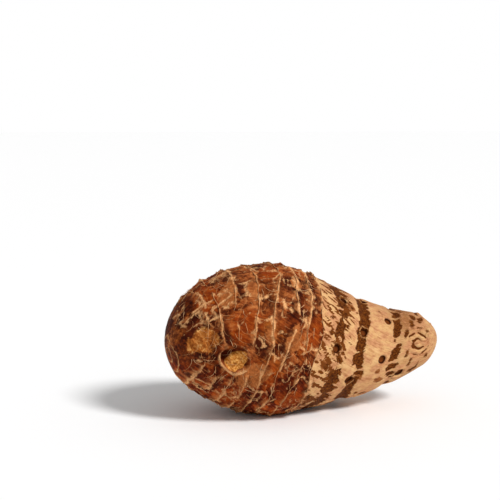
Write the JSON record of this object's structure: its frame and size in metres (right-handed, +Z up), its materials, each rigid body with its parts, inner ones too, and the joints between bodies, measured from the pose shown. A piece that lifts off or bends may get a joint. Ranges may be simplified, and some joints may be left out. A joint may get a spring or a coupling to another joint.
{
  "type": "taro root",
  "caption": "Edible pear-shaped taro side corm lying on its side: rough brown leaf-sheath rings over the broad half, pale bare skin towards the narrow end.",
  "frame": {"origin": "centre of the bounding box in plan, on the surface that the root rests on", "axes": "+X from the broad end to the narrow end, +Z up; the side with the bud faces -Y"},
  "size_m": [0.1056, 0.0566, 0.0544],
  "materials": {
    "skin": "matte, fibrous skin with dark brown scars"
  },
  "bodies": {
    "root": {"taro_corm": "skin"}
  },
  "joints": []
}
